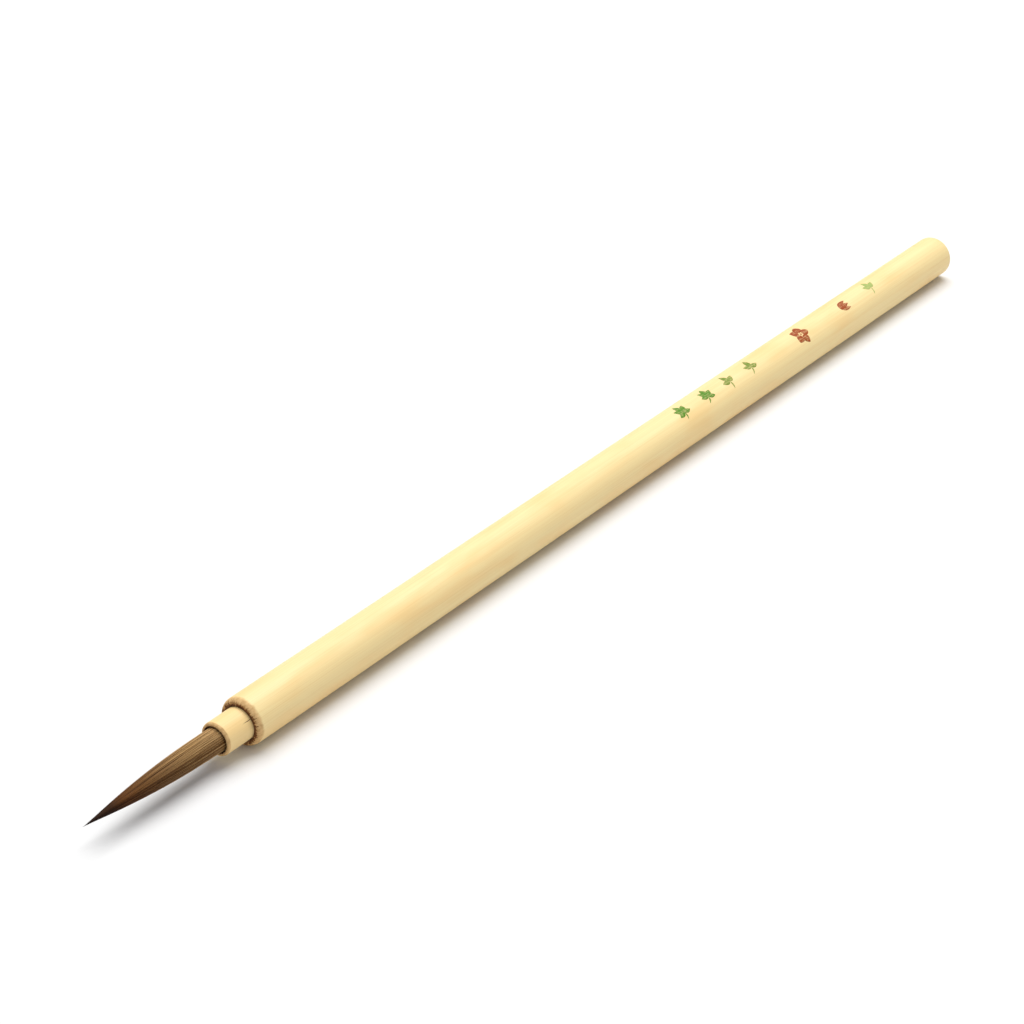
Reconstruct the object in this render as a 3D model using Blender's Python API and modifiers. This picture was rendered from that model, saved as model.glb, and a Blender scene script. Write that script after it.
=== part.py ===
"""A writing brush: bamboo handle, stepped bamboo ferrule and a pointed tuft of weasel hair.

The brush lies along X with its point towards -X, as it would on a desk. Lengths are in
metres and +Z is up. The origin is below the middle of the brush, on the desk.

Every piece is turned about the brush's own axis, so its outline is a list of
(distance along the axis, radius) corners, and a Screw modifier sweeps it round.
"""

import math

import bpy
from mathutils import Vector

MM = 0.001

# Driving dimensions of the handle, a length of bamboo culm
HANDLE_LENGTH = 191 * MM
HANDLE_RADIUS = 3.6 * MM
CULM_BORE_RADIUS = 1.9 * MM
SOCKET_RADIUS = 2.62 * MM  # reamed into the front end for the ferrule
SOCKET_DEPTH = 14 * MM
# The domed front end's bevels, as (distance back from its face, radius) corners
FRONT_DOME = (
    (0.0, 2.98 * MM),
    (0.14 * MM, 3.2 * MM),
    (0.5 * MM, 3.45 * MM),
    (1.1 * MM, HANDLE_RADIUS),
)
TAIL_ROUND = 1.0 * MM
TAIL_PLUG_LENGTH = 9 * MM
TAIL_PLUG_RECESS = 0.08 * MM

# Driving dimensions of the ferrule, a thinner bamboo tube glued into the socket
FERRULE_REACH = 4.9 * MM  # how far it stands out of the handle
FERRULE_SEAT = 12 * MM  # how far it goes into the handle
FERRULE_RADIUS = 2.52 * MM
FERRULE_BORE_RADIUS = 2.02 * MM
RIM_RADIUS = 2.28 * MM  # the mouth's flat rim ends here, and its bevel starts
RIM_BEVEL_LENGTH = 0.5 * MM

# Driving dimensions of the tuft
TUFT_LENGTH = 24.7 * MM  # out of the ferrule's mouth
TUFT_RADIUS = 1.72 * MM
TUFT_TAPER_START = 2.3  # a higher power keeps the belly full for longer
TUFT_TAPER_END = 1.15  # a higher power draws the point out finer
ROOT_DEPTH = 7.5 * MM  # how far the bound roots sit in the ferrule
LIFE_SHARE = 0.42  # the longest hairs, in the middle, as a share of the tuft's radius
WAIST_SHARE = 0.74  # the short stiff hairs round them
POINT_CORE_SHARE = 0.70  # past the waist hairs, the longest hairs fill this share
COVER_REACH = 20 * MM  # the wrapped outer hairs end here, and the longest go on

# Where the tuft bends, measured out of the ferrule's mouth
WAIST_PIVOT = 1.2 * MM
BELLY_PIVOT = 11 * MM

# The thread that ties the roots, and the glue that holds them
THREAD_RADIUS = 0.12 * MM
THREAD_TURNS = 5
THREAD_START = -5.0 * MM
THREAD_POINTS_A_TURN = 20
GROOVE_DEPTH = 0.22 * MM
ROOT_SEAL_THICKNESS = 0.5 * MM
GLUE_PLUG_LENGTH = 1.8 * MM
GLUE_CUP_HEIGHT = 1.1 * MM
GLUE_CUP_WALL = 0.16 * MM
SEAT_GLUE_LENGTH = 1.2 * MM
SEAT_GLUE_WALL = 0.8 * MM

LAYER_GAP = 0.05 * MM  # between pieces that lie against each other
END_GAP = 0.1 * MM  # between pieces that meet end to end
HANDLE_SIDES = 16  # few enough for the handle to rest on a flat and not roll
FERRULE_SIDES = 32
HAIR_SIDES = 20
ROUND_STEPS = 4
SMOOTH_ANGLE = math.radians(40)

# Places worked out from those
TOTAL_LENGTH = TUFT_LENGTH + FERRULE_REACH + HANDLE_LENGTH
MOUTH_X = -TOTAL_LENGTH / 2 + TUFT_LENGTH
SHOULDER_X = MOUTH_X + FERRULE_REACH
TAIL_X = SHOULDER_X + HANDLE_LENGTH
AXIS_HEIGHT = HANDLE_RADIUS  # one of the handle's flats lies on the desk


def clear_scene():
    for obj in list(bpy.data.objects):
        bpy.data.objects.remove(obj, do_unlink=True)


def new_collection(name):
    collection = bpy.data.collections.new(name)
    bpy.context.scene.collection.children.link(collection)
    return collection


def new_material(name, colour, roughness):
    material = bpy.data.materials.new(name)
    material.use_nodes = True
    shader = material.node_tree.nodes["Principled BSDF"]
    shader.inputs["Base Color"].default_value = (*colour, 1.0)
    shader.inputs["Roughness"].default_value = roughness
    shader.inputs["Metallic"].default_value = 0.0
    return material


def new_pivot(name, collection, x, parent=None):
    """An empty on the brush's axis, turned so that its own Z runs along +X."""
    pivot = bpy.data.objects.new(name, None)
    pivot.empty_display_size = HANDLE_RADIUS
    collection.objects.link(pivot)
    if parent is None:
        pivot.location = (x, 0.0, AXIS_HEIGHT)
        pivot.rotation_euler = (0.0, math.pi / 2, 0.0)
    else:
        pivot.parent = parent
        pivot.location = (0.0, 0.0, x - parent["axis_x"])
    pivot["axis_x"] = x
    return pivot


def rounded_corner(before, corner, after, radius):
    """The points of an arc of this radius that replaces a corner of an outline."""
    to_before = (before - corner).normalized()
    to_after = (after - corner).normalized()
    half_angle = to_before.angle(to_after) / 2
    centre = corner + (to_before + to_after).normalized() * radius / math.sin(half_angle)
    first = corner + to_before * radius / math.tan(half_angle) - centre
    last = corner + to_after * radius / math.tan(half_angle) - centre
    directions = [first.slerp(last, i / ROUND_STEPS) for i in range(ROUND_STEPS + 1)]
    return [centre + direction * radius for direction in directions]


def with_rounds(outline):
    """The outline's points, once each (along, radius, round) corner has its arc."""
    corners = [Vector(corner[:2]) for corner in outline]
    points = []
    for i, corner in enumerate(outline):
        if len(corner) == 2:
            points.append(corners[i])
        else:
            after = corners[(i + 1) % len(corners)]
            points += rounded_corner(corners[i - 1], corners[i], after, corner[2])
    return points


def shade_round(obj):
    """Keeps the modifiers' result as the object's mesh, smooth except at its edges."""
    bpy.context.view_layer.update()
    graph = bpy.context.evaluated_depsgraph_get()
    obj.data = bpy.data.meshes.new_from_object(obj.evaluated_get(graph))
    obj.modifiers.clear()
    obj.data.shade_smooth()
    obj.data.set_sharp_from_angle(angle=SMOOTH_ANGLE)


def turned(name, outline, material, collection, pivot, sides):
    """A solid turned about the brush's axis.

    The outline's corners are (x, radius) or (x, radius, round). It runs over the outside
    from the point's end to the tail's end. It is closed for a ring, and it starts and ends
    at radius 0 for a piece with no hole. The radii are those of the flats, and the corners
    between the flats stand a little further out.
    """
    half_step = math.pi / sides
    points = with_rounds(outline)[::-1]
    has_hole = min(point.y for point in points) > 0
    vertices = [(r, r * math.tan(half_step), x - pivot["axis_x"]) for x, r in points]
    edges = [(i, i + 1) for i in range(len(vertices) - 1)]
    if has_hole:
        edges.append((len(vertices) - 1, 0))
    mesh = bpy.data.meshes.new(name)
    mesh.from_pydata(vertices, edges, [])
    mesh.materials.append(material)

    obj = bpy.data.objects.new(name, mesh)
    collection.objects.link(obj)
    obj.parent = pivot
    screw = obj.modifiers.new("Turn", "SCREW")
    screw.axis = "Z"
    screw.angle = 2 * math.pi
    screw.steps = screw.render_steps = sides
    screw.use_merge_vertices = True
    screw.merge_threshold = 0.001 * MM
    shade_round(obj)
    return obj


def tuft_radius(out):
    """The tuft's radius at a distance out of the ferrule's mouth."""
    share = min(max(out / TUFT_LENGTH, 0.0), 1.0)
    return TUFT_RADIUS * (1 - share**TUFT_TAPER_START) ** TUFT_TAPER_END


def span(first, last, count):
    """Evenly spaced values from first to last, both included."""
    return [first + (last - first) * i / (count - 1) for i in range(count)]


def hair_layer(name, start, end, shares, material, collection, pivot, ball_at=None):
    """One layer of the tuft between two distances out of the mouth.

    shares are the layer's inner and outer radius as shares of the tuft's. With ball_at, the
    layer's base is its part of a ball round that point, so that the tuft can turn there.
    """
    inner, outer = shares
    core = inner == 0
    gap = 0.0 if core else LAYER_GAP
    outs = span(end, start if ball_at is None else ball_at, 7)
    outside = [(out, outer * tuft_radius(out)) for out in outs]
    inside = [] if core else [(o, inner * tuft_radius(o) + gap) for o in reversed(outs)]
    base = []
    if ball_at is not None:
        ball = tuft_radius(ball_at)
        widest, narrowest = outer * ball, inner * ball + gap
        angles = span(math.asin(widest / ball), math.asin(narrowest / ball), 4)
        base = [(ball_at - ball * math.cos(a), ball * math.sin(a)) for a in angles]
        if outer == 1.0:
            base = base[1:]  # the ball's rim is already the last point outside
    elif core:
        base = [(start, 0.0)]
    tip = [(end, 0.0)] if core and outside[0][1] > 0 else []
    outline = [(MOUTH_X - out, radius) for out, radius in tip + outside + base + inside]
    return turned(name, outline, material, collection, pivot, HAIR_SIDES)


def make_handle(bamboo, plug_wood, collection, pivot):
    floor_x = SHOULDER_X + SOCKET_DEPTH
    dome = [(SHOULDER_X + back, radius) for back, radius in FRONT_DOME]
    turned(
        "handle_tube",
        [
            (SHOULDER_X, SOCKET_RADIUS, 0.06 * MM),
            *dome,
            (TAIL_X, HANDLE_RADIUS, TAIL_ROUND),
            (TAIL_X, CULM_BORE_RADIUS),
            (floor_x, CULM_BORE_RADIUS),
            (floor_x, SOCKET_RADIUS),
        ],
        bamboo,
        collection,
        pivot,
        HANDLE_SIDES,
    )
    plug_radius = CULM_BORE_RADIUS - LAYER_GAP
    plug_end = TAIL_X - TAIL_PLUG_RECESS
    turned(
        "tail_plug",
        [
            (plug_end - TAIL_PLUG_LENGTH, 0.0),
            (plug_end - TAIL_PLUG_LENGTH, plug_radius, 0.3 * MM),
            (plug_end, plug_radius, 0.1 * MM),
            (plug_end, 0.0),
        ],
        plug_wood,
        collection,
        pivot,
        HANDLE_SIDES,
    )


def make_ferrule(bamboo, glue, collection, pivot):
    seat_end = SHOULDER_X + FERRULE_SEAT
    turned(
        "ferrule_sleeve",
        [
            (MOUTH_X, FERRULE_BORE_RADIUS, 0.06 * MM),
            (MOUTH_X, RIM_RADIUS, 0.12 * MM),
            (MOUTH_X + RIM_BEVEL_LENGTH, FERRULE_RADIUS, 0.5 * MM),
            (seat_end, FERRULE_RADIUS, 0.25 * MM),
            (seat_end, FERRULE_BORE_RADIUS),
        ],
        bamboo,
        collection,
        pivot,
        FERRULE_SIDES,
    )
    glue_start = seat_end + END_GAP
    glue_radius = SOCKET_RADIUS - LAYER_GAP
    turned(
        "seat_glue_ring",
        [
            (glue_start, glue_radius - SEAT_GLUE_WALL),
            (glue_start, glue_radius),
            (glue_start + SEAT_GLUE_LENGTH, glue_radius),
            (glue_start + SEAT_GLUE_LENGTH, glue_radius - SEAT_GLUE_WALL / 2),
        ],
        glue,
        collection,
        pivot,
        FERRULE_SIDES,
    )


def make_root_glue(seal, glue, collection, pivot):
    """The fused disc at the ends of the hairs, and the cup of glue that it sits in."""
    seal_x = MOUTH_X + ROOT_DEPTH + END_GAP
    seal_end = seal_x + ROOT_SEAL_THICKNESS
    turned(
        "root_seal_disc",
        [
            (seal_x, 0.0),
            (seal_x, TUFT_RADIUS),
            (seal_end, TUFT_RADIUS, 0.2 * MM),
            (seal_end, 0.0),
        ],
        seal,
        collection,
        pivot,
        HAIR_SIDES,
    )
    cup_floor = seal_end + END_GAP
    cup_end = cup_floor + GLUE_PLUG_LENGTH
    cup_radius = FERRULE_BORE_RADIUS - LAYER_GAP
    turned(
        "root_glue_cup",
        [
            (cup_floor, 0.0),
            (cup_floor, cup_radius - GLUE_CUP_WALL),
            (cup_floor - GLUE_CUP_HEIGHT, cup_radius - GLUE_CUP_WALL / 2),
            (cup_floor - GLUE_CUP_HEIGHT, cup_radius),
            (cup_end, cup_radius, 0.3 * MM),
            (cup_end, 0.0),
        ],
        glue,
        collection,
        pivot,
        HAIR_SIDES,
    )


def make_root_hairs(hair, collection, pivot):
    """The hairs' bound roots in the ferrule, down to the ball that the tuft turns on."""
    front = WAIST_PIVOT - tuft_radius(WAIST_PIVOT) - END_GAP
    place = (-ROOT_DEPTH, front)
    hair_layer("life_hair_roots", *place, (0, LIFE_SHARE), hair, collection, pivot)
    shares = (LIFE_SHARE, WAIST_SHARE)
    hair_layer("waist_hair_roots", *place, shares, hair, collection, pivot)

    groove_width = (2 * THREAD_TURNS + 2) * (THREAD_RADIUS + LAYER_GAP / 2)
    groove = (MOUTH_X - THREAD_START, MOUTH_X - THREAD_START + groove_width)
    inner = WAIST_SHARE * TUFT_RADIUS + LAYER_GAP
    turned(
        "cover_hair_roots",
        [
            (MOUTH_X - front, inner),
            (MOUTH_X - front, TUFT_RADIUS),
            (groove[0] - GROOVE_DEPTH, TUFT_RADIUS),
            (groove[0], TUFT_RADIUS - GROOVE_DEPTH),
            (groove[1], TUFT_RADIUS - GROOVE_DEPTH),
            (groove[1] + GROOVE_DEPTH, TUFT_RADIUS),
            (MOUTH_X + ROOT_DEPTH, TUFT_RADIUS),
            (MOUTH_X + ROOT_DEPTH, inner),
        ],
        hair,
        collection,
        pivot,
        HAIR_SIDES,
    )
    return groove


def make_binding_thread(thread, collection, pivot, groove):
    """Thread wound side by side in the groove round the roots."""
    pitch = 2 * THREAD_RADIUS + LAYER_GAP
    winding_radius = TUFT_RADIUS - GROOVE_DEPTH + THREAD_RADIUS + LAYER_GAP
    first = (groove[0] + groove[1] - THREAD_TURNS * pitch) / 2 - pivot["axis_x"]
    curve = bpy.data.curves.new("binding_thread", "CURVE")
    curve.dimensions = "3D"
    curve.bevel_depth = THREAD_RADIUS
    curve.bevel_resolution = 2
    curve.use_fill_caps = True
    curve.materials.append(thread)
    count = THREAD_TURNS * THREAD_POINTS_A_TURN + 1
    spline = curve.splines.new("POLY")
    spline.points.add(count - 1)
    for i, point in enumerate(spline.points):
        turns = i / THREAD_POINTS_A_TURN
        angle = 2 * math.pi * turns
        x = winding_radius * math.cos(angle)
        y = winding_radius * math.sin(angle)
        point.co = (x, y, first + pitch * turns, 1.0)
    obj = bpy.data.objects.new("binding_thread", curve)
    collection.objects.link(obj)
    obj.parent = pivot


def make_belly_hairs(hair, collection, pivot):
    """The thick half of the tuft, which turns at the ferrule's mouth."""
    end = BELLY_PIVOT - tuft_radius(BELLY_PIVOT) - END_GAP
    layers = {
        "life_hair_belly": (0, LIFE_SHARE),
        "waist_hair_belly": (LIFE_SHARE, WAIST_SHARE),
        "cover_hair_belly": (WAIST_SHARE, 1.0),
    }
    for name, shares in layers.items():
        place = (WAIST_PIVOT, end)
        hair_layer(name, *place, shares, hair, collection, pivot, ball_at=WAIST_PIVOT)


def make_point_hairs(hair, tip_hair, collection, pivot):
    """The tapering half of the tuft, which turns on the end of the belly."""
    ends = {
        "life_hair_point": (TUFT_LENGTH, (0, POINT_CORE_SHARE), tip_hair),
        "cover_hair_point": (COVER_REACH, (POINT_CORE_SHARE, 1.0), hair),
    }
    for name, (end, shares, material) in ends.items():
        place = (BELLY_PIVOT, end)
        hair_layer(
            name, *place, shares, material, collection, pivot, ball_at=BELLY_PIVOT
        )


def main():
    clear_scene()
    brush = new_collection("calligraphy_brush")
    bamboo = new_material("bamboo", (0.83, 0.66, 0.36), 0.42)
    ferrule_bamboo = new_material("ferrule_bamboo", (0.80, 0.62, 0.33), 0.45)
    plug_wood = new_material("plug_wood", (0.66, 0.46, 0.24), 0.6)
    hair = new_material("weasel_hair", (0.24, 0.13, 0.05), 0.5)
    tip_hair = new_material("dark_tip_hair", (0.06, 0.03, 0.015), 0.45)
    thread = new_material("hemp_thread", (0.70, 0.62, 0.46), 0.85)
    glue = new_material("amber_glue", (0.45, 0.24, 0.07), 0.25)
    seal = new_material("fused_roots", (0.05, 0.03, 0.02), 0.55)

    handle_axis = new_pivot("handle_axis", brush, SHOULDER_X)
    waist_pivot = new_pivot("waist_pivot", brush, MOUTH_X - WAIST_PIVOT)
    belly_pivot = new_pivot("belly_pivot", brush, MOUTH_X - BELLY_PIVOT, waist_pivot)

    make_handle(bamboo, plug_wood, brush, handle_axis)
    make_ferrule(ferrule_bamboo, glue, brush, handle_axis)
    make_root_glue(seal, glue, brush, handle_axis)
    groove = make_root_hairs(hair, brush, handle_axis)
    make_binding_thread(thread, brush, handle_axis, groove)
    make_belly_hairs(hair, brush, waist_pivot)
    make_point_hairs(hair, tip_hair, brush, belly_pivot)


main()
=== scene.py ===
"""The looks of a bamboo writing brush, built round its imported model.

The brush lies along X with its point towards -X and its handle on the floor. "Out" is the
distance from the ferrule's mouth towards the point. The handle and the ferrule are turned
shells of slightly uneven bamboo, and the tuft is some hundreds of separate tapered hairs.
Colours are linear, and an angle round the axis runs from straight up towards -Y.
"""

import math
import random

import bpy
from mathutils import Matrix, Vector, noise


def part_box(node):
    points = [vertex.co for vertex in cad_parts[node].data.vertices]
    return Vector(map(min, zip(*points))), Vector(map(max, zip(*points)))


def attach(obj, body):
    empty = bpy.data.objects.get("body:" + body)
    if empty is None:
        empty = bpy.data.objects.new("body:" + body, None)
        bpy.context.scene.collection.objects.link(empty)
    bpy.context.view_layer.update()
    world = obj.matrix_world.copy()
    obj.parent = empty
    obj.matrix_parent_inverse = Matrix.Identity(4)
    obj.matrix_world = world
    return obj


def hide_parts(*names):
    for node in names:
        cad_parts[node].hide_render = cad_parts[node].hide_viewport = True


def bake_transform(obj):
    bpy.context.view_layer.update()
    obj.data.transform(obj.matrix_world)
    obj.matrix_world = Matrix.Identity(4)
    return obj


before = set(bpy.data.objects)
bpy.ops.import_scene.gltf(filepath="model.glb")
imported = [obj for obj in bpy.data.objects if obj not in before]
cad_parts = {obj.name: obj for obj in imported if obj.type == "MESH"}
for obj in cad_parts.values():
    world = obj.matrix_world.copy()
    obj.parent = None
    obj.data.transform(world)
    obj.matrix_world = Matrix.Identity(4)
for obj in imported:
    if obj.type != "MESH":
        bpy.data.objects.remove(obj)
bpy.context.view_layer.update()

MM = 0.001

# Places and sizes read from the frame
SHOULDER_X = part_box("handle_tube")[0].x
TAIL_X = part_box("handle_tube")[1].x
MOUTH_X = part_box("ferrule_sleeve")[0].x
FERRULE_END_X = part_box("ferrule_sleeve")[1].x
TIP_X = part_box("life_hair_point")[0].x
HANDLE_RADIUS = (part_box("handle_tube")[1].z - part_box("handle_tube")[0].z) / 2
FERRULE_RADIUS = (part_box("ferrule_sleeve")[1].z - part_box("ferrule_sleeve")[0].z) / 2
PLUG_RADIUS = (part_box("tail_plug")[1].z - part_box("tail_plug")[0].z) / 2
AXIS_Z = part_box("handle_tube")[0].z + HANDLE_RADIUS
TUFT_LENGTH = MOUTH_X - TIP_X
ROOT_FRONT_OUT = MOUTH_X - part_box("cover_hair_roots")[0].x

# The camera, fitted to the brush's outline in the photo
CAMERA_FROM_TAIL = Vector((-420.27, -213.93, 206.37)) * MM  # from the axis, at the tail's end
CAMERA_AZIMUTH = math.radians(-53.653)  # from -Y towards +X
CAMERA_ELEVATION = math.radians(29.187)
CAMERA_LENS = 98.09
CAMERA_SENSOR = 36

# The studio
WORLD_STRENGTH = 0.44
LAMP_PLACE = (0.6, 0.25, 1.58)
LAMP_WIDTH = 1.7
LAMP_POWER = 34
FLOOR_WIDTH = 12
FLOOR_DROP = 0.02 * MM  # how far the floor lies below the brush's lowest point
FLOOR_GREY = 0.82

# The handle
SOCKET_RADIUS = 2.62 * MM
SOCKET_DEPTH = 13.9 * MM
DOME_LENGTH = 1.1 * MM  # the front end is rounded over this much of its length
CREST_RADIUS = 2.98 * MM  # the dome ends here, and a worn hollow, darkened with painted shade, starts
HOLLOW_DEPTH = 0.04 * MM
TAIL_ROUND = 1.0 * MM
HANDLE_SIDES = 160
HANDLE_RINGS = 150

# The ferrule
FERRULE_BORE = 2.02 * MM
RIM_LENGTH = 0.5 * MM  # the mouth is rounded over this much of the ferrule's length
RIM_CREST_RADIUS = 2.2 * MM
FERRULE_SIDES = 128

# Bamboo's colours
PALE_SKIN = (0.93, 0.74, 0.37)
WARM_SKIN = (0.93, 0.665, 0.30)
PALE_SAWN = (0.76, 0.500, 0.225)
DARK_SAWN = (0.57, 0.345, 0.135)
# Dark brown painted shade in the handle's hollow round the ferrule and inside the ferrule's mouth
RECESS_SHADE_FRINGE = (0.40, 0.19, 0.065)  # painted shade, fading out round the darkest of it
RECESS_PAINTED_SHADE = (0.150, 0.055, 0.012)
CRACK = (0.12, 0.05, 0.015)

# The tuft
TUFT_RADIUS = 1.80 * MM
TAPER_START = 2.3  # a higher power keeps the belly full for longer
TAPER_END = 1.15  # a higher power draws the point out finer
TUFT_LEAN = 0.24 * MM  # how far the point stands off the handle's axis
LEAN_ASIDE = 0.686  # the lean's direction, towards +Y and up
LEAN_UP = 0.728
HAIR_SPLIT_OUT = 7 * MM  # the tuft is two pieces, which meet here
HAIR_START_OUT = ROOT_FRONT_OUT + 0.06 * MM
HAIR_RADIUS = 0.036 * MM
HAIR_CLUMPS = 74
HAIRS_IN_CLUMP = 8
HAIR_SIDES = 5
HAIR_RING_GAP = 0.8 * MM
HAIR_END_SPREAD = 0.40  # the shortest hairs are shorter than the longest by this share
INNER_DEPTH = 0.09  # the innermost hairs lie below the surface by this share of its radius
# Hair tones, which carry painted shade as well as the hairs' own random tones, run from -1 for the
# darkest to 1 for the lightest
# The core under the hairs is darker: painted shade between the hairs
CORE_PAINTED_SHADE = -0.4
CLUMP_TONE = 0.1
CLUMP_TONE_SPREAD = 0.13
HAIR_TONE_SPREAD = 0.32
DEPTH_PAINTED_SHADE = 0.9  # painted shade: how much darker a hair gets the deeper it lies in the tuft
# Painted shade: the hairs on the tuft's lower side towards -Y get darker tones
PAINTED_SHADE_TONE = -0.55
PAINTED_SHADE_SIDE = math.radians(150)
PAINTED_SHADE_HALF = math.radians(96)  # how far the painted shade on the hairs reaches each way round the tuft
PAINTED_SHADE_EDGE = math.radians(24)  # how wide the step from hairs with painted shade to hairs without it is

# The painted motifs
MARK_ANGLE = math.radians(21)  # where round the handle they lie
PAINT_TOP = 0.016 * MM  # how far a petal's middle stands above the bamboo
PAINT_LAYER = 0.003 * MM  # and how much higher each petal lies than the one before
PAINT_RIM = -0.006 * MM
PAINT_UNDER = -0.05 * MM

random.seed(7)


# --- Camera, light and floor ---------------------------------------------------------------


def add_camera():
    back = Vector(
        (
            math.sin(CAMERA_AZIMUTH) * math.cos(CAMERA_ELEVATION),
            -math.cos(CAMERA_AZIMUTH) * math.cos(CAMERA_ELEVATION),
            math.sin(CAMERA_ELEVATION),
        )
    )
    camera = bpy.data.objects.new("camera", bpy.data.cameras.new("camera"))
    bpy.context.scene.collection.objects.link(camera)
    camera.data.sensor_width = CAMERA_SENSOR
    camera.data.lens = CAMERA_LENS
    camera.data.clip_start = 0.01
    camera.data.clip_end = 50
    camera.location = Vector((TAIL_X, 0, AXIS_Z)) + CAMERA_FROM_TAIL
    camera.rotation_mode = "QUATERNION"
    camera.rotation_quaternion = (-back).to_track_quat("-Z", "Y")
    bpy.context.scene.camera = camera


def add_lamp():
    """One wide soft lamp, which shines on the middle of the brush."""
    light = bpy.data.lights.new("overhead", "AREA")
    light.shape = "DISK"
    light.size = LAMP_WIDTH
    light.energy = LAMP_POWER
    lamp = bpy.data.objects.new("overhead", light)
    bpy.context.scene.collection.objects.link(lamp)
    lamp.location = LAMP_PLACE
    lamp.rotation_euler = (-Vector(LAMP_PLACE)).to_track_quat("-Z", "Y").to_euler()


def add_floor():
    bpy.ops.mesh.primitive_plane_add(size=FLOOR_WIDTH, location=(0, 0, -FLOOR_DROP))
    floor = bpy.context.object
    floor.name = "floor"
    grey = (FLOOR_GREY, FLOOR_GREY, FLOOR_GREY, 1)
    floor.data.materials.append(Paint("white_floor").finish(grey, 0.9))


def add_studio():
    scene = bpy.context.scene
    scene.view_settings.view_transform = "Standard"
    world = bpy.data.worlds.new("studio")
    scene.world = world
    world.use_nodes = True
    background = world.node_tree.nodes["Background"]
    background.inputs["Color"].default_value = (1, 1, 1, 1)
    background.inputs["Strength"].default_value = WORLD_STRENGTH
    add_lamp()
    add_floor()


# --- Materials -----------------------------------------------------------------------------


class Paint:
    """A material, with short calls for adding and joining its nodes."""

    def __init__(self, name):
        self.material = bpy.data.materials.new(name)
        self.material.use_nodes = True
        self.tree = self.material.node_tree
        self.shader = self.tree.nodes["Principled BSDF"]

    def set(self, node, socket, value):
        if isinstance(value, bpy.types.NodeSocket):
            self.tree.links.new(value, node.inputs[socket])
        else:
            node.inputs[socket].default_value = value

    def node(self, kind, inputs, **settings):
        made = self.tree.nodes.new(kind)
        for name, value in settings.items():
            setattr(made, name, value)
        for socket, value in inputs.items():
            self.set(made, socket, value)
        return made

    def place(self, stretch=(1, 1, 1)):
        """The point in the object's own space, scaled along each axis."""
        coordinates = self.node("ShaderNodeTexCoord", {}).outputs["Object"]
        inputs = {"Vector": coordinates, "Scale": stretch}
        return self.node("ShaderNodeMapping", inputs).outputs["Vector"]

    def noise(self, vector, scale, detail=3.0, roughness=0.55):
        inputs = {"Vector": vector, "Scale": scale, "Detail": detail, "Roughness": roughness}
        return self.node("ShaderNodeTexNoise", inputs).outputs["Fac"]

    def cells(self, vector, scale):
        inputs = {"Vector": vector, "Scale": scale}
        return self.node("ShaderNodeTexVoronoi", inputs).outputs["Distance"]

    def math(self, operation, first, second=0.0):
        made = self.node("ShaderNodeMath", {0: first, 1: second}, operation=operation)
        return made.outputs["Value"]

    def steps(self, value, low, high, to_low=0.0, to_high=1.0):
        """A smooth step of value from low to high."""
        inputs = {
            "Value": value,
            "From Min": low,
            "From Max": high,
            "To Min": to_low,
            "To Max": to_high,
        }
        kind = "ShaderNodeMapRange"
        made = self.node(kind, inputs, interpolation_type="SMOOTHSTEP")
        return made.outputs["Result"]

    def mix(self, share, first, second, blend="MIX"):
        made = self.node("ShaderNodeMix", {}, data_type="RGBA", blend_type=blend)
        for index, value in ((0, share), (6, first), (7, second)):
            if isinstance(value, tuple):
                value = (*value, 1)
            self.set(made, index, value)
        return made.outputs[2]

    def ramp(self, value, stops):
        made = self.node("ShaderNodeValToRGB", {"Fac": value})
        elements = made.color_ramp.elements
        while len(elements) < len(stops):
            elements.new(0.5)
        for element, (position, colour) in zip(elements, stops):
            element.position = position
            element.color = (*colour, 1)
        return made.outputs["Color"]

    def bump(self, height, strength, distance):
        inputs = {"Height": height, "Strength": strength, "Distance": distance}
        return self.node("ShaderNodeBump", inputs).outputs["Normal"]

    def attribute(self, name):
        made = self.node("ShaderNodeAttribute", {}, attribute_name=name)
        return made.outputs["Fac"]

    def finish(self, colour, roughness, normal=None, specular=0.5, coat=0.0, sheen=0.0):
        self.set(self.shader, "Base Color", colour)
        self.set(self.shader, "Roughness", roughness)
        self.set(self.shader, "Specular IOR Level", specular)
        self.set(self.shader, "Coat Weight", coat)
        self.set(self.shader, "Sheen Weight", sheen)
        if normal:
            self.set(self.shader, "Normal", normal)
        return self.material


def off_axis(paint, coordinates):
    """The distance from the brush's axis, and the position along it."""
    split = paint.node("ShaderNodeSeparateXYZ", {"Vector": coordinates})
    y = paint.math("MULTIPLY", split.outputs["Y"], split.outputs["Y"])
    height = paint.math("SUBTRACT", split.outputs["Z"], AXIS_Z)
    z = paint.math("MULTIPLY", height, height)
    return paint.math("SQRT", paint.math("ADD", y, z)), split.outputs["X"]


def spokes(paint, here):
    """Noise that runs in spokes out from the brush's axis."""
    split = paint.node("ShaderNodeSeparateXYZ", {"Vector": here})
    height = paint.math("SUBTRACT", split.outputs["Z"], AXIS_Z)
    across = paint.node("ShaderNodeCombineXYZ", {"Y": split.outputs["Y"], "Z": height})
    inputs = {0: across.outputs["Vector"]}
    direction = paint.node("ShaderNodeVectorMath", inputs, operation="NORMALIZE")
    return paint.noise(direction.outputs["Vector"], 12, 4, 0.7)


def skin_colour(paint):
    """Pale polished bamboo, with warmer patches and darker fibres along it."""
    patches = paint.noise(paint.place((0.25, 1, 1)), 260, 2)
    fibres = paint.noise(paint.place((18, 3600, 3600)), 1, 4, 0.7)
    fine = paint.noise(paint.place((60, 9000, 9000)), 1, 3)
    flecks = paint.noise(paint.place((420, 5200, 5200)), 1, 2)
    colour = paint.mix(paint.steps(patches, 0.42, 0.68), PALE_SKIN, WARM_SKIN)
    colour = paint.mix(paint.steps(fibres, 0.38, 0.68, 0, 0.42), colour, (0.86, 0.61, 0.26))
    colour = paint.mix(paint.steps(fine, 0.5, 0.75, 0, 0.30), colour, (0.72, 0.47, 0.19))
    colour = paint.mix(paint.steps(flecks, 0.7, 0.78, 0, 0.12), colour, (0.62, 0.38, 0.15))
    return colour, fibres


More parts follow.
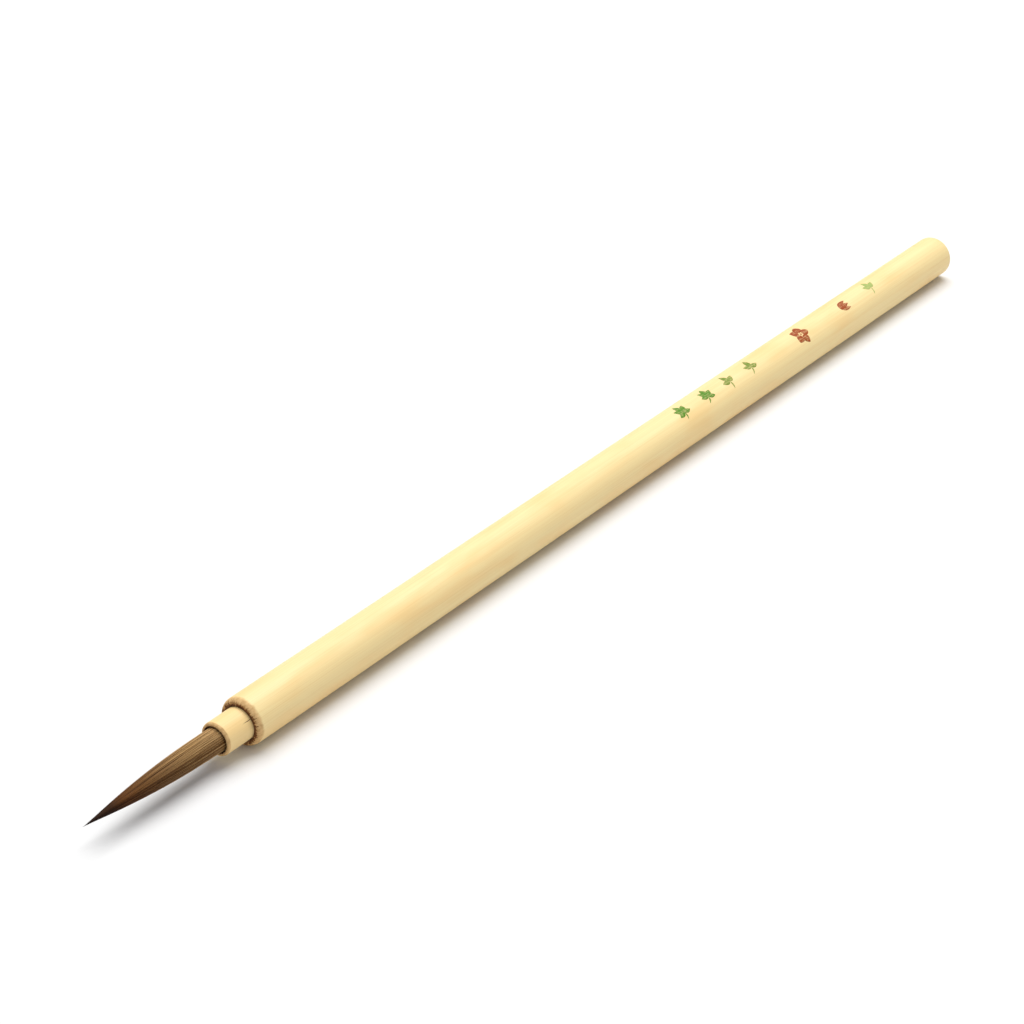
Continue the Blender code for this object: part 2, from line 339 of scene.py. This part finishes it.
def sawn_colour(paint, here, radius, painted_shade_radius):
    """Bamboo cut across, where the ends of its strands show as dark dots near the bore."""
    strands = paint.cells(paint.place((0.3, 1, 1)), 3300)
    patches = paint.noise(here, 1500, 3)
    colour = paint.mix(paint.steps(patches, 0.35, 0.7), PALE_SAWN, DARK_SAWN)
    near_bore = paint.steps(radius, painted_shade_radius + 0.05 * MM, painted_shade_radius + 0.3 * MM, 0.5, 0.1)
    dots = paint.math("MULTIPLY", paint.steps(strands, 0.12, 0.42, 1, 0), near_bore)
    return paint.mix(dots, colour, (0.36, 0.17, 0.06)), strands


def cut_share(paint, here, along, skin, skin_edge):
    """1 where the skin is cut away, past either of its two ends along X, and 0 between them."""
    skin_from, skin_to = skin
    wander = paint.math("MULTIPLY", paint.noise(here, 1400, 3), 2 * skin_edge)
    shifted = paint.math("SUBTRACT", paint.math("ADD", along, wander), skin_edge)
    front = paint.steps(shifted, skin_from - skin_edge, skin_from + skin_edge, 1, 0)
    back = paint.steps(shifted, skin_to - skin_edge, skin_to + skin_edge)
    return paint.math("MAXIMUM", front, back)


def ragged_radius(paint, here, radius, ragged):
    """The distance from the axis, made uneven by spokes and crumbs, here more and there less."""
    torn = paint.math("SUBTRACT", spokes(paint, here), 0.5)
    crumbs = paint.math("SUBTRACT", paint.noise(here, 4600, 3, 0.7), 0.5)
    torn = paint.math("ADD", torn, paint.math("MULTIPLY", crumbs, 0.5))
    rough_part = paint.steps(paint.noise(here, 330, 1), 0.4, 0.6, 0.4, 1)
    torn = paint.math("MULTIPLY", paint.math("MULTIPLY", torn, rough_part), ragged)
    return paint.math("ADD", radius, torn)


def bamboo_material(name, skin, skin_edge, painted_shade_radius, ragged, crack=False):
    """Polished bamboo skin between two places along X, and sawn bamboo past them.

    The skin fades out over skin_edge. painted_shade_radius is the radius where the dark painted
    shade round the bore's front end stops, and ragged is how unevenly it stops.
    """
    paint = Paint(name)
    here = paint.place()
    radius, along = off_axis(paint, here)
    polished, fibres = skin_colour(paint)
    sawn, strands = sawn_colour(paint, here, radius, painted_shade_radius)
    cut = cut_share(paint, here, along, skin, skin_edge)
    colour = paint.mix(cut, polished, sawn)

    # Painted shade round the bore's front end: dark brown, with a browner fringe, in the handle's
    # hollow and the ferrule's mouth
    reach = ragged_radius(paint, here, radius, ragged)
    at_front = paint.steps(along, skin[0] + 0.1 * MM, skin[0] + 0.8 * MM, 1, 0)
    shade_fringe = paint.steps(reach, painted_shade_radius, painted_shade_radius + 0.12 * ragged, 0.55, 0)
    colour = paint.mix(paint.math("MULTIPLY", shade_fringe, at_front), colour, RECESS_SHADE_FRINGE)
    painted_shade = paint.steps(reach, painted_shade_radius - 0.05 * MM, painted_shade_radius + 0.05 * MM, 1, 0)
    colour = paint.mix(paint.math("MULTIPLY", painted_shade, at_front), colour, RECESS_PAINTED_SHADE)
    if crack:
        colour = paint.mix(crack_line(paint, here), colour, CRACK)

    height = paint.mix(cut, fibres, strands)
    roughness = paint.steps(paint.math("ADD", fibres, cut), 0.3, 1.4, 0.46, 0.8)
    return paint.finish(colour, roughness, paint.bump(height, 0.25, 0.03 * MM), specular=0.4)


def crack_line(paint, here):
    """A hairline split in the ferrule, which starts at the handle and thins out."""
    start = SHOULDER_X
    length = 1.7 * MM
    half_width = 0.05 * MM
    split = paint.node("ShaderNodeSeparateXYZ", {"Vector": here})
    wander = paint.math("MULTIPLY", paint.noise(here, 900, 4), 0.2 * MM)
    side = paint.math("ADD", split.outputs["Z"], wander)
    offset = paint.math("ABSOLUTE", paint.math("SUBTRACT", side, AXIS_Z + 1.6 * MM))
    line = paint.steps(offset, half_width * 0.4, half_width, 1, 0)
    reach = paint.steps(split.outputs["X"], start - length, start - length * 0.3)
    facing = paint.steps(split.outputs["Y"], -0.6 * MM, -0.4 * MM, 1, 0)
    return paint.math("MULTIPLY", paint.math("MULTIPLY", line, reach), facing)


def hair_material():
    """Glossy brown animal hair that darkens towards its point."""
    paint = Paint("weasel_hair")
    along = paint.attribute("along")
    tone = paint.attribute("tone")
    stops = (
        (0.0, (0.500, 0.330, 0.150)),
        (0.22, (0.385, 0.240, 0.098)),
        (0.38, (0.290, 0.168, 0.066)),
        (0.55, (0.200, 0.098, 0.030)),
        (0.71, (0.140, 0.052, 0.010)),
        (0.8, (0.050, 0.018, 0.004)),
        (1.0, (0.012, 0.006, 0.004)),
    )
    colour = paint.ramp(along, stops)
    # The darker end also gives the hairs' painted shade, on the tuft's lower side, deep in it and
    # in its core
    brighter = paint.mix(1.0, colour, (1.6, 1.6, 1.6), "MULTIPLY")
    darker = paint.mix(1.0, colour, (0.25, 0.14, 0.03), "MULTIPLY")
    colour = paint.mix(paint.steps(tone, -1, 1), darker, brighter)
    return paint.finish(colour, paint.steps(tone, -1, 1, 0.42, 0.5), specular=0.1)


def mark_material(name, colour):
    """Thin printed paint, patchy where the bamboo shows through."""
    paint = Paint(name)
    here = paint.place()
    thin = paint.noise(here, 2400, 3, 0.6)
    fibres = paint.noise(paint.place((40, 5200, 5200)), 1, 2)
    pale = tuple(0.55 * c + 0.45 * b for c, b in zip(colour, (0.93, 0.72, 0.36)))
    worn = paint.steps(paint.math("ADD", thin, fibres), 0.9, 1.35)
    colour = paint.mix(worn, colour, pale)
    roughness = paint.steps(thin, 0.3, 0.7, 0.45, 0.6)
    return paint.finish(colour, roughness, paint.bump(thin, 0.2, 0.02 * MM), specular=0.15)


def thread_material():
    paint = Paint("hemp_thread")
    twist = paint.noise(paint.place((7000, 2500, 2500)), 1, 3)
    colour = paint.mix(paint.steps(twist, 0.35, 0.65), (0.62, 0.52, 0.34), (0.36, 0.27, 0.15))
    return paint.finish(colour, 0.85, paint.bump(twist, 0.6, 0.03 * MM), sheen=0.3)


def glue_material():
    paint = Paint("amber_glue")
    cloud = paint.noise(paint.place(), 900, 3)
    colour = paint.mix(paint.steps(cloud, 0.3, 0.7), (0.36, 0.17, 0.04), (0.20, 0.08, 0.02))
    return paint.finish(colour, 0.25, paint.bump(cloud, 0.3, 0.05 * MM), coat=0.3)


def fused_root_material():
    paint = Paint("fused_roots")
    grit = paint.noise(paint.place(), 4200, 4)
    colour = paint.mix(paint.steps(grit, 0.35, 0.65), (0.05, 0.03, 0.02), (0.015, 0.01, 0.008))
    return paint.finish(colour, 0.6, paint.bump(grit, 0.7, 0.05 * MM))


def bound_hair_material():
    paint = Paint("bound_hair")
    hairs = paint.noise(paint.place((60, 9000, 9000)), 1, 3)
    colour = paint.mix(paint.steps(hairs, 0.35, 0.65), (0.30, 0.17, 0.07), (0.10, 0.05, 0.02))
    return paint.finish(colour, 0.5, paint.bump(hairs, 0.6, 0.04 * MM), sheen=0.2)


def plug_material():
    paint = Paint("plug_end_grain")
    here = paint.place((0.2, 1, 1))
    pores = paint.cells(here, 4200)
    patches = paint.noise(here, 900, 3)
    colour = paint.mix(paint.steps(patches, 0.3, 0.7), (0.66, 0.45, 0.24), (0.50, 0.31, 0.15))
    colour = paint.mix(paint.steps(pores, 0.1, 0.35, 0.7, 0), colour, (0.22, 0.12, 0.05))
    return paint.finish(colour, 0.65, paint.bump(pores, 0.4, 0.04 * MM))


# --- Meshes --------------------------------------------------------------------------------


def mesh_piece(name, points, faces, material, smooth=True):
    mesh = bpy.data.meshes.new(name)
    mesh.from_pydata(points, [], faces)
    mesh.materials.append(material)
    if smooth:
        mesh.shade_smooth()
    piece = bpy.data.objects.new(name, mesh)
    bpy.context.scene.collection.objects.link(piece)
    return piece


def on_brush(x, radius, angle):
    """A point at this angle round the axis, from straight up towards -Y."""
    return (x, -radius * math.sin(angle), AXIS_Z + radius * math.cos(angle))


def turned_piece(name, outline, sides, material, unevenness):
    """A closed ring of an outline, each of its points moved out by its unevenness."""
    points = []
    for x, radius in outline:
        for k in range(sides):
            angle = 2 * math.pi * k / sides
            shift_x, shift_radius = unevenness(x, radius, angle)
            points.append(on_brush(x + shift_x, radius + shift_radius, angle))
    faces = []
    count = len(outline)
    for i in range(count):
        for k in range(sides):
            a, b = i * sides + k, i * sides + (k + 1) % sides
            c, d = ((i + 1) % count) * sides + (k + 1) % sides, ((i + 1) % count) * sides + k
            faces.append((a, b, c, d))
    piece = mesh_piece(name, points, faces, material)
    piece.data.set_sharp_from_angle(angle=math.radians(38))
    return piece


def oval_arc(x, radius, length, height, steps=10):
    """A quarter of an oval round (x, radius), from its end along X to its top."""
    angles = [math.pi / 2 * i / steps for i in range(steps + 1)]
    return [(x + length * math.cos(a), radius + height * math.sin(a)) for a in angles]


def line(first, last, steps):
    """Points from first up to, and not including, last."""
    (x0, r0), (x1, r1) = first, last
    return [(x0 + (x1 - x0) * i / steps, r0 + (r1 - r0) * i / steps) for i in range(steps)]


def surface_shift(x, angle):
    """How far the handle's skin stands off a true cylinder here."""
    oval = 0.012 * math.cos(2 * angle + 1.1 + 6 * x)
    place = Vector((x * 70, math.cos(angle) * 0.8, math.sin(angle) * 0.8))
    return (oval + 0.014 * noise.noise(place) - 0.012) * MM


def make_handle(material):
    dome_height = HANDLE_RADIUS - CREST_RADIUS
    dome = oval_arc(SHOULDER_X + DOME_LENGTH, CREST_RADIUS, -DOME_LENGTH, dome_height)
    wall_end = (TAIL_X - TAIL_ROUND, HANDLE_RADIUS)
    tail = oval_arc(TAIL_X - TAIL_ROUND, HANDLE_RADIUS - TAIL_ROUND, TAIL_ROUND, TAIL_ROUND)
    bore = PLUG_RADIUS + 0.03 * MM
    socket_floor = SHOULDER_X + SOCKET_DEPTH
    hollow_floor = (SHOULDER_X + HOLLOW_DEPTH, SOCKET_RADIUS)
    hollow_edge = (SHOULDER_X, CREST_RADIUS - 0.05 * MM)
    outline = (
        line(hollow_floor, hollow_edge, 7)
        + line(hollow_edge, dome[0], 2)
        + dome[:-1]
        + line(dome[-1], wall_end, HANDLE_RINGS)
        + tail[::-1][:-1]
        + line(tail[0], (TAIL_X, bore), 4)
        + line((TAIL_X, bore), (socket_floor, bore), 12)
        + [(socket_floor, bore), (socket_floor, SOCKET_RADIUS)]
        + line((SHOULDER_X + 6 * MM, SOCKET_RADIUS), hollow_floor, 6)
    )

    def unevenness(x, radius, angle):
        in_socket = radius < SOCKET_RADIUS + 0.02 * MM
        if in_socket and x > SHOULDER_X + 1.5 * MM:
            return 0, 0
        shift = surface_shift(x, angle)
        if in_socket or x > dome[-1][0]:
            return 0, shift
        place = Vector((x, radius * math.cos(angle), radius * math.sin(angle)))
        torn = noise.noise(place * 3400) * 0.6 + noise.noise(place * 8200) * 0.4
        near_hollow = min(max((CREST_RADIUS + 0.12 * MM - radius) / (0.2 * MM), 0), 1)
        return (0.03 + 0.11 * near_hollow) * (0.6 + torn) * MM, shift

    piece = turned_piece("bamboo_handle", outline, HANDLE_SIDES, material, unevenness)
    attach(piece, "handle")
    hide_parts("handle_tube")


def make_ferrule(material):
    lip = 0.1 * MM
    bevel = FERRULE_RADIUS - RIM_CREST_RADIUS
    rim = oval_arc(MOUTH_X + RIM_LENGTH, RIM_CREST_RADIUS, -RIM_LENGTH, bevel)
    inner_rim = oval_arc(MOUTH_X + lip, FERRULE_BORE + lip, -lip, -lip, 4)
    outside = (SHOULDER_X, FERRULE_RADIUS)
    wall_end = (FERRULE_END_X - 0.3 * MM, FERRULE_RADIUS)
    chamfer_end = (FERRULE_END_X, FERRULE_RADIUS - 0.25 * MM)
    outline = (
        line(inner_rim[0], rim[0], 4)
        + rim[:-1]
        + line(rim[-1], outside, 30)
        + line(outside, wall_end, 12)
        + [wall_end, chamfer_end, (FERRULE_END_X, FERRULE_BORE)]
        + line((FERRULE_END_X - 1 * MM, FERRULE_BORE), inner_rim[-1], 16)
        + inner_rim[::-1][:-1]
    )

    def unevenness(x, radius, angle):
        place = Vector((x * 160, math.cos(angle), math.sin(angle)))
        swell = 0.012 * noise.noise(place) - 0.008
        if x > rim[-1][0]:
            return 0, swell * MM
        place = Vector((x, radius * math.cos(angle), radius * math.sin(angle))) * 3600
        return (0.03 + 0.035 * noise.noise(place)) * MM, swell * MM

    piece = turned_piece("bamboo_ferrule", outline, FERRULE_SIDES, material, unevenness)
    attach(piece, "handle")
    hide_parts("ferrule_sleeve")


# --- The tuft ------------------------------------------------------------------------------


def tuft_radius(out):
    share = min(max(out / TUFT_LENGTH, 0.0), 1.0)
    return TUFT_RADIUS * (1 - share**TAPER_START) ** TAPER_END


def tuft_centre(out):
    """The tuft's own axis, which leans up and to the far side towards the point."""
    lean = TUFT_LEAN * max(out, 0.0) / TUFT_LENGTH
    return Vector((MOUTH_X - out, lean * LEAN_ASIDE, AXIS_Z + lean * LEAN_UP))


def around(out, radius, angle):
    side = Vector((0, -math.sin(angle), math.cos(angle)))
    return tuft_centre(out) + side * radius


def add_tube(points, faces, centres, radii, sides):
    """Adds one closed tube through the centres to a mesh's points and faces."""
    base = len(points)
    for i, (centre, radius) in enumerate(zip(centres, radii)):
        before = centres[max(i - 1, 0)]
        after = centres[min(i + 1, len(centres) - 1)]
        along = (after - before).normalized()
        side = along.cross(Vector((0, 0, 1))).normalized()
        up = side.cross(along)
        for k in range(sides):
            angle = 2 * math.pi * k / sides
            points.append(centre + (side * math.cos(angle) + up * math.sin(angle)) * radius)
    for i in range(len(centres) - 1):
        for k in range(sides):
            a, b = base + i * sides + k, base + i * sides + (k + 1) % sides
            faces.append((a, a + sides, b + sides, b))
    last = base + (len(centres) - 1) * sides
    faces.append(tuple(base + k for k in range(sides)))
    faces.append(tuple(last + k for k in reversed(range(sides))))


class Hair:
    """One hair: a smooth path on the tuft, from its root to its own end."""

    def __init__(self, clump_angle, clump_tone_and_shade, spread, depth):
        self.clump_angle = clump_angle
        self.spread = spread
        self.depth = depth
        # Hairs lying deeper in the tuft are darkened: painted shade
        tone = clump_tone_and_shade + random.gauss(0, HAIR_TONE_SPREAD) - DEPTH_PAINTED_SHADE * (1 - depth)
        self.tone = max(-1, min(1, tone))
        self.end = TUFT_LENGTH * (1 - HAIR_END_SPREAD * random.random() ** 2.4)
        self.wave = random.uniform(0, 2 * math.pi)
        self.thickness = random.uniform(0.8, 1.2)

    def point(self, out):
        share = max(out, 0) / TUFT_LENGTH
        gather = 1 - 0.1 * math.sin(math.pi * min(share * 1.3, 1))
        wander = 0.03 * math.sin(self.wave + share * 7)
        angle = self.clump_angle + self.spread * gather + wander
        surface = tuft_radius(out) - self.radius(out)
        ripple = 0.012 * MM * math.sin(self.wave * 3 + share * 11)
        return around(out, max(surface * self.depth + ripple * (1 - share), 0), angle)

    def radius(self, out):
        share = max(out, 0) / self.end
        taper = math.sqrt(max(1 - share**3, 0))
        return HAIR_RADIUS * self.thickness * max(taper, 0.16)


def all_hairs():
    hairs = []
    for clump in range(HAIR_CLUMPS):
        angle = 2 * math.pi * (clump + random.uniform(-0.15, 0.15)) / HAIR_CLUMPS
        # Clumps on the tuft's lower side towards -Y are darkened: painted shade
        off_painted_shade = abs((angle - PAINTED_SHADE_SIDE + math.pi) % (2 * math.pi) - math.pi)
        share = min(max((PAINTED_SHADE_HALF - off_painted_shade) / PAINTED_SHADE_EDGE + 0.5, 0), 1)
        tone = random.gauss(CLUMP_TONE, CLUMP_TONE_SPREAD) + PAINTED_SHADE_TONE * share
        width = 2 * math.pi / HAIR_CLUMPS
        for _ in range(HAIRS_IN_CLUMP):
            spread = random.uniform(-0.75, 0.75) * width
            depth = 1 - INNER_DEPTH * random.random() ** 1.5
            hairs.append(Hair(angle, tone, spread, depth))
    return hairs


def hair_piece(name, hairs, start, end, material):
    """The stretch of the tuft between two distances out of the ferrule's mouth."""
    points, faces, along, tone = [], [], [], []

    def add(centres, outs, radii, sides, shade):
        add_tube(points, faces, centres, radii, sides)
        for out in outs:
            along.extend([max(out, 0) / TUFT_LENGTH] * sides)
            tone.extend([shade] * sides)

    def rings_to(stop):
        count = math.ceil((stop - start) / HAIR_RING_GAP)
        return [start + (stop - start) * i / count for i in range(count + 1)]

    outs = rings_to(min(end, TUFT_LENGTH * 0.93))
    radii = [tuft_radius(out) * 0.9 - HAIR_RADIUS for out in outs]
    # A dark core fills the tuft under the hairs: painted shade in the gaps between them
    add([tuft_centre(out) for out in outs], outs, radii, 24, CORE_PAINTED_SHADE)
    for hair in hairs:
        stop = min(end, hair.end)
        if stop - start < 0.5 * MM:
            continue
        outs = rings_to(stop)
        centres = [hair.point(out) for out in outs]
        add(centres, outs, [hair.radius(out) for out in outs], HAIR_SIDES, hair.tone)

    piece = mesh_piece(name, points, faces, material)
    piece.data.set_sharp_from_angle(angle=math.radians(80))
    for attribute, values in (("along", along), ("tone", tone)):
        made = piece.data.attributes.new(attribute, "FLOAT", "POINT")
        made.data.foreach_set("value", values)
    return piece


def make_tuft(material):
    hairs = all_hairs()
    belly = hair_piece("tuft_hairs_belly", hairs, HAIR_START_OUT, HAIR_SPLIT_OUT, material)
    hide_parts("life_hair_belly", "waist_hair_belly", "cover_hair_belly")
    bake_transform(belly)
    point = hair_piece("tuft_hairs_point", hairs, HAIR_SPLIT_OUT, TUFT_LENGTH, material)
    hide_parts("life_hair_point", "cover_hair_point")
    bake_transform(point)


# --- Painted motifs on the handle ----------------------------------------------------------


def add_petal(points, faces, root, heading, length, width, curl, layer):
    """Adds one petal of paint, lying on the handle, to a mesh's points and faces.

    root is (x, distance round the handle). heading is the petal's direction, from +X. Each
    layer lies a little higher than the one before.
    """
    long_steps, wide_steps = 10, 4
    top = PAINT_TOP + PAINT_LAYER * layer
    base = len(points)

    def place(i, j, is_under):
        share = i / long_steps
        half_width = width / 2 * math.sin(math.pi * share**0.8) ** 0.9 if 0 < i < long_steps else 0
        across = (2 * j / wide_steps - 1) * max(half_width, 0.02 * MM)
        turn = heading + curl * share
        x = root[0] + share * length * math.cos(turn) - across * math.sin(turn)
        round_handle = root[1] + share * length * math.sin(turn) + across * math.cos(turn)
        inside = 0 < i < long_steps and 0 < j < wide_steps
        lift = PAINT_UNDER if is_under else (top if inside else PAINT_RIM)
        angle = round_handle / HANDLE_RADIUS
        return on_brush(x, HANDLE_RADIUS + surface_shift(x, angle) + lift, angle)

    row = wide_steps + 1
    sheet = row * (long_steps + 1)
    for is_under in (False, True):
        for i in range(long_steps + 1):
            points.extend(place(i, j, is_under) for j in range(row))
    for i in range(long_steps):
        for j in range(wide_steps):
            a = base + i * row + j
            faces.append((a, a + 1, a + row + 1, a + row))
            faces.append(tuple(n + sheet for n in (a + row, a + row + 1, a + 1, a)))
    border = list(range(row))
    border += [i * row + wide_steps for i in range(1, long_steps + 1)]
    border += [long_steps * row + j for j in reversed(range(wide_steps))]
    border += [i * row for i in reversed(range(1, long_steps))]
    for n, m in zip(border, border[1:] + border[:1]):
        faces.append((base + m, base + n, base + n + sheet, base + m + sheet))


def make_mark(name, from_tail, petals, material):
    """A motif round a place on the handle. A petal is (x, round, heading, length, width, curl)."""
    points, faces = [], []
    centre = (TAIL_X - from_tail, MARK_ANGLE * HANDLE_RADIUS)
    for layer, (x, round_handle, heading, length, width, curl) in enumerate(petals):
        root = (centre[0] + x * MM, centre[1] + round_handle * MM)
        size = (length * MM, width * MM)
        add_petal(points, faces, root, math.radians(heading), *size, math.radians(curl), layer)
    piece = mesh_piece(name, points, faces, material)
    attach(piece, "handle")


def leaf_cluster(count, fan, heading, length):
    """Broad leaves spread over a fan of degrees round the heading, and their stalk behind them."""
    stalk = (0, 0, heading + 180, 1.5, 0.36, 24)
    petals = [stalk]
    for i in range(count):
        offset = fan * (i / (count - 1) - 0.5)
        size = length * (1 - 0.2 * abs(offset) / 90)
        petals.append((0, 0, heading + offset, size, 0.62 * size, 0))
    return petals


def blossom(count, length, width):
    """Petals round a small open centre with a dot in it."""
    petals = []
    for i in range(count):
        angle = 2 * math.pi * i / count
        x, round_handle = 0.32 * math.cos(angle), 0.32 * math.sin(angle)
        petals.append((x, round_handle, math.degrees(angle), length, width, 0))
    return petals + [(-0.26, 0, 0, 0.52, 0.5, 0)]


def bud(length, width):
    """Three broad petals that open out of one place."""
    return [(-0.45 * length, 0, turn, length, width, -0.5 * turn) for turn in (-34, 34, 0)]


def make_marks():
    green = mark_material("green_paint", (0.085, 0.245, 0.012))
    olive = mark_material("olive_paint", (0.185, 0.270, 0.032))
    pale_green = mark_material("pale_green_paint", (0.37, 0.46, 0.13))
    red = mark_material("red_paint", (0.34, 0.060, 0.010))
    # each sprig: distance from the tail, leaves, fan, heading, leaf length, paint
    sprigs = (
        (64.8, 3, 150, -82, 2.1, olive),
        (71.4, 3, 140, -104, 2.1, olive),
        (78.0, 5, 190, -80, 2.1, green),
        (85.0, 5, 200, -100, 2.2, green),
    )
    for number, (from_tail, leaves, fan, heading, length, paint) in enumerate(sprigs, 1):
        petals = leaf_cluster(leaves, fan, heading, length)
        make_mark(f"leaf_sprig_{number}", from_tail * MM, petals, paint)
    make_mark("blossom", 49.2 * MM, blossom(5, 1.85, 1.9), red)
    make_mark("flower_bud", 35.2 * MM, bud(2.9, 1.15), red)
    make_mark("young_leaves", 25.8 * MM, leaf_cluster(3, 120, -96, 2.1), pale_green)


# --- Pieces that keep the frame's shape ----------------------------------------------------


def give_material(material, *nodes):
    for node in nodes:
        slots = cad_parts[node].data.materials
        slots.clear()
        slots.append(material)


def main():
    add_camera()
    add_studio()
    skin = (SHOULDER_X + 0.85 * MM, TAIL_X - 0.2 * MM)
    # where the painted shade in the handle's hollow stops
    painted_shade_radius = CREST_RADIUS + 0.06 * MM
    make_handle(bamboo_material("handle_bamboo", skin, 0.3 * MM, painted_shade_radius, 3 * MM))
    skin = (MOUTH_X + 0.40 * MM, FERRULE_END_X)
    # where the painted shade in the ferrule's mouth stops
    painted_shade_radius = FERRULE_BORE + 0.06 * MM
    bamboo = bamboo_material("sleeve_bamboo", skin, 0.09 * MM, painted_shade_radius, 0.5 * MM, crack=True)
    make_ferrule(bamboo)
    make_tuft(hair_material())
    make_marks()
    give_material(plug_material(), "tail_plug")
    give_material(thread_material(), "binding_thread")
    give_material(glue_material(), "seat_glue_ring", "root_glue_cup")
    give_material(fused_root_material(), "root_seal_disc")
    roots = ("life_hair_roots", "waist_hair_roots", "cover_hair_roots")
    give_material(bound_hair_material(), *roots)


main()
